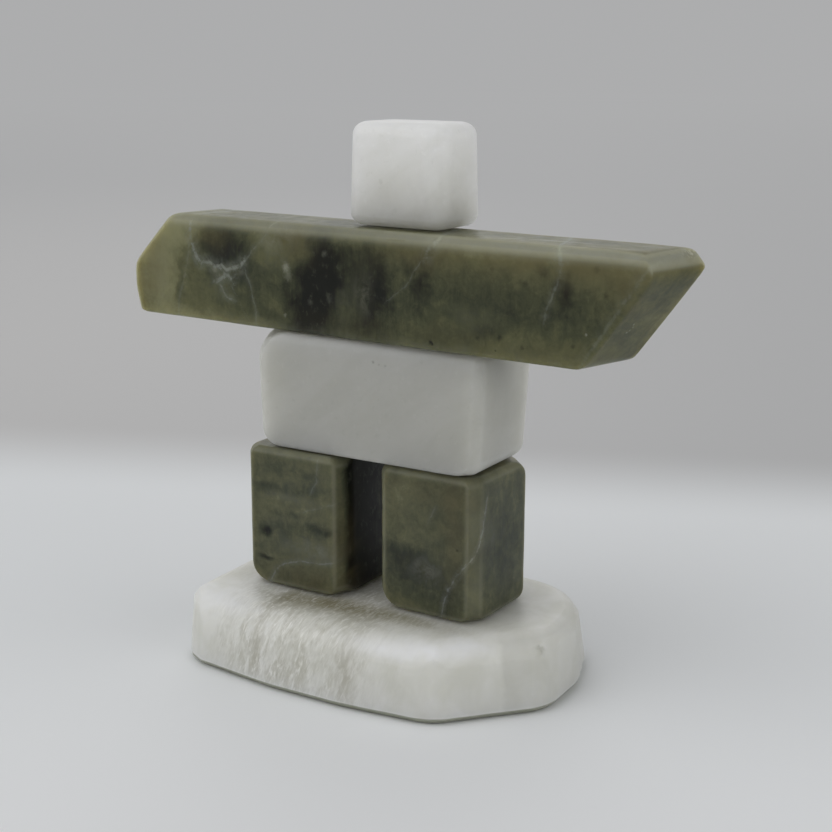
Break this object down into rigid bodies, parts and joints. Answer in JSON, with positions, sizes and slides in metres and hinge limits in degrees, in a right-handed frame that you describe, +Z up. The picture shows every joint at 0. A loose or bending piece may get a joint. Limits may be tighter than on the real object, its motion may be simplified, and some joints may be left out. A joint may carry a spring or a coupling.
{
  "type": "inukshuk sculpture",
  "caption": "Table ornament of stacked ground stones in the shape of a person: a wide low base, two block legs, a block torso, a long beam for the arms and a small rounded head.",
  "frame": {"origin": "on the underside of the base, below the middle of the head", "axes": "+Z up, the figure's front towards -Y, +X to the viewer's right along the arms"},
  "size_m": [0.1573, 0.0695, 0.14],
  "materials": {
    "streaked_white_stone": "white alabaster-like stone with grey-brown fibrous streaks, rubbed smooth, dull satin",
    "green_stone": "dark olive serpentine-like stone, clouded and veined, paler where thin, satin polish",
    "white_stone": "plain translucent white stone with faint mottling, rubbed smooth, matt"
  },
  "bodies": {
    "root": {"base": "streaked_white_stone", "left_leg": "green_stone", "right_leg": "green_stone", "torso": "white_stone", "arms": "green_stone", "head": "white_stone"}
  },
  "joints": []
}
